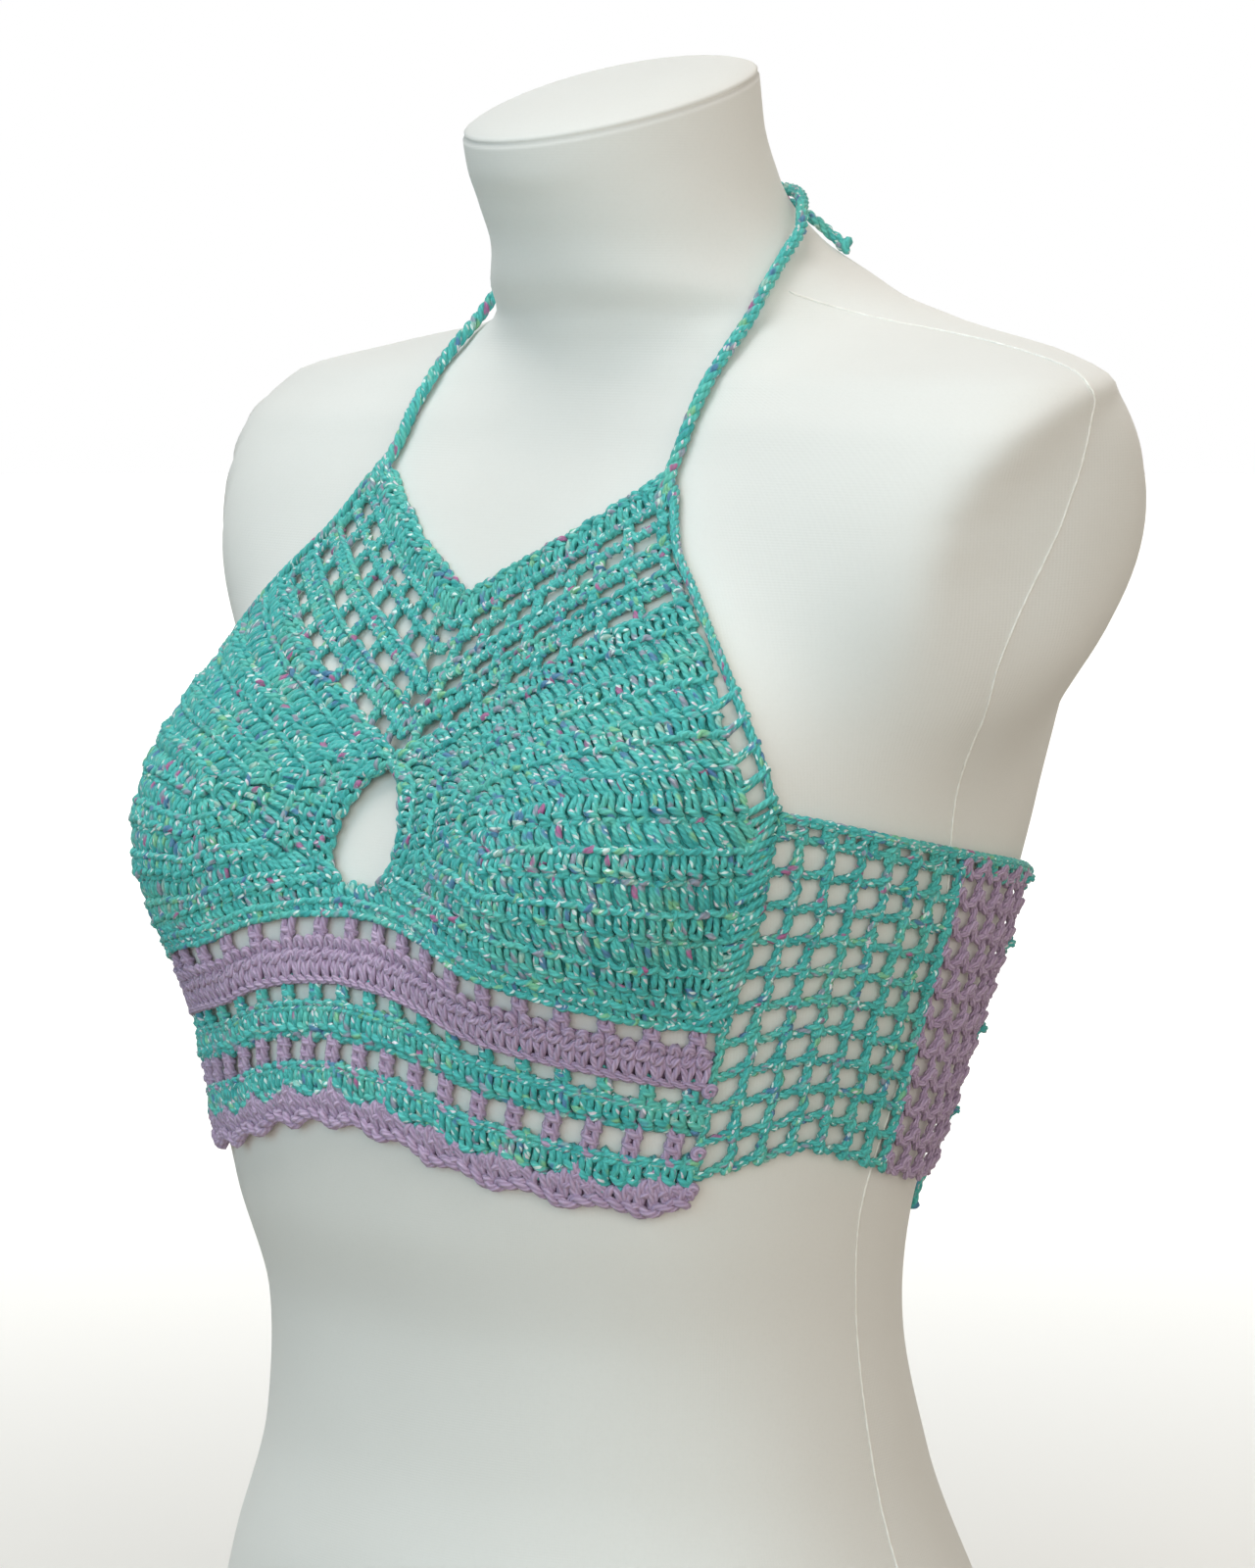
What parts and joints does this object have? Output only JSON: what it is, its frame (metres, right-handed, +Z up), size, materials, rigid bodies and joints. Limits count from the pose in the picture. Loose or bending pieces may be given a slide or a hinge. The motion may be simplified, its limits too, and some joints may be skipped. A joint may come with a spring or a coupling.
{
  "type": "crochet halter top on a limbless dress form",
  "caption": "Cropped halter top crocheted in teal and lilac yarn, with folded-row cups, an openwork yoke, a mesh back and a laced opening, worn by a limbless dress form",
  "frame": {"origin": "centre of the outline's bounding box, on the plane of the dress form's flat base", "axes": "+Z up, the form faces -Y, +X is the wearer's left"},
  "size_m": [0.3696, 0.2423, 0.5653],
  "materials": {
    "jersey": "matte off-white jersey cover",
    "teal": "plied teal yarn with bright flecks",
    "lilac": "matte lilac cotton yarn"
  },
  "bodies": {
    "root": {"dress_form": "jersey", "cup_left": "teal", "cup_right": "teal", "yoke_left": "teal", "yoke_right": "teal", "cup_base_row": "teal", "lilac_band": "lilac", "teal_band": "teal", "lilac_post_row": "lilac", "teal_row": "teal", "scallop_edging": "lilac", "side_mesh_left": "teal", "side_mesh_right": "teal", "back_mesh_left": "lilac", "back_mesh_right": "lilac", "top_edging_left": "teal", "top_edging_right": "teal", "armhole_edge_left": "teal", "armhole_edge_right": "teal", "strap_left": "teal", "strap_right": "teal", "nape_knot": "teal", "nape_tail_left": "teal", "nape_tail_right": "teal", "lace_over": "teal", "lace_under": "teal", "lace_tail_left": "teal", "lace_tail_right": "teal"}
  },
  "joints": []
}
